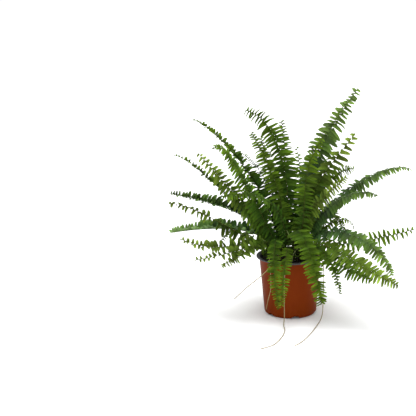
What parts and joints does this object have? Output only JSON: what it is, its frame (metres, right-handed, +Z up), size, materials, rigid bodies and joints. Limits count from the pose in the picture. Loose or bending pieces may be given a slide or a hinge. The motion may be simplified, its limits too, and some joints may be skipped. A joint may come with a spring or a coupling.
{
  "type": "potted fern",
  "caption": "Sword fern with arching, toothed fronds, bare trailing runners and young shoots, growing from compost in a round tapered plastic nursery pot.",
  "frame": {"origin": "on the pot's axis at the height of the foot ring, which is the middle of the bounding box's underside to within 3 mm", "axes": "+Z up along the pot's axis, +X to the plant's right, -Y to its front, where the two long runners lie"},
  "size_m": [0.4367, 0.3796, 0.392],
  "materials": {
    "pot_plastic": "satin",
    "compost": "matte",
    "rootstock": "matte",
    "frond_green": "satin",
    "frond_blue_green": "satin",
    "frond_yellow_green": "satin",
    "runner_stem": "matte",
    "young_shoot": "matte"
  },
  "bodies": {
    "root": {"crown": "rootstock", "frond_back_left": "frond_green", "frond_back_left_low": "frond_green", "frond_back_middle": "frond_green", "frond_back_middle_left": "frond_green", "frond_back_middle_right": "frond_green", "frond_back_right": "frond_green", "frond_back_right_low": "frond_green", "frond_back_small": "frond_green", "frond_back_upper": "frond_green", "frond_front_left": "frond_green", "frond_front_middle": "frond_green", "frond_front_right": "frond_green", "frond_front_upright": "frond_yellow_green", "frond_left_back_blue": "frond_blue_green", "frond_left_back_small": "frond_green", "frond_left_band": "frond_green", "frond_left_blue": "frond_blue_green", "frond_left_brown": "frond_yellow_green", "frond_left_gold": "frond_yellow_green", "frond_left_grey": "frond_green", "frond_left_low": "frond_yellow_green", "frond_left_small": "frond_green", "frond_left_straight": "frond_blue_green", "frond_left_tall": "frond_green", "frond_left_upper": "frond_green", "frond_left_wisp": "frond_yellow_green", "frond_left_yellow": "frond_yellow_green", "frond_right_arch": "frond_blue_green", "frond_right_blue": "frond_blue_green", "frond_right_far": "frond_green", "frond_right_gold": "frond_yellow_green", "frond_right_hanging": "frond_green", "frond_right_hook": "frond_green", "frond_right_lace": "frond_green", "frond_right_long": "frond_blue_green", "frond_right_low": "frond_yellow_green", "frond_right_middle": "frond_yellow_green", "frond_right_tall": "frond_blue_green", "frond_right_under": "frond_green", "frond_top_back": "frond_green", "frond_top_left": "frond_green", "pot": "pot_plastic", "runner_front": "runner_stem", "runner_left": "runner_stem", "runner_left_short": "runner_stem", "runner_right": "runner_stem", "shoot_low": "young_shoot", "shoot_pale": "young_shoot", "soil": "compost"}
  },
  "joints": []
}
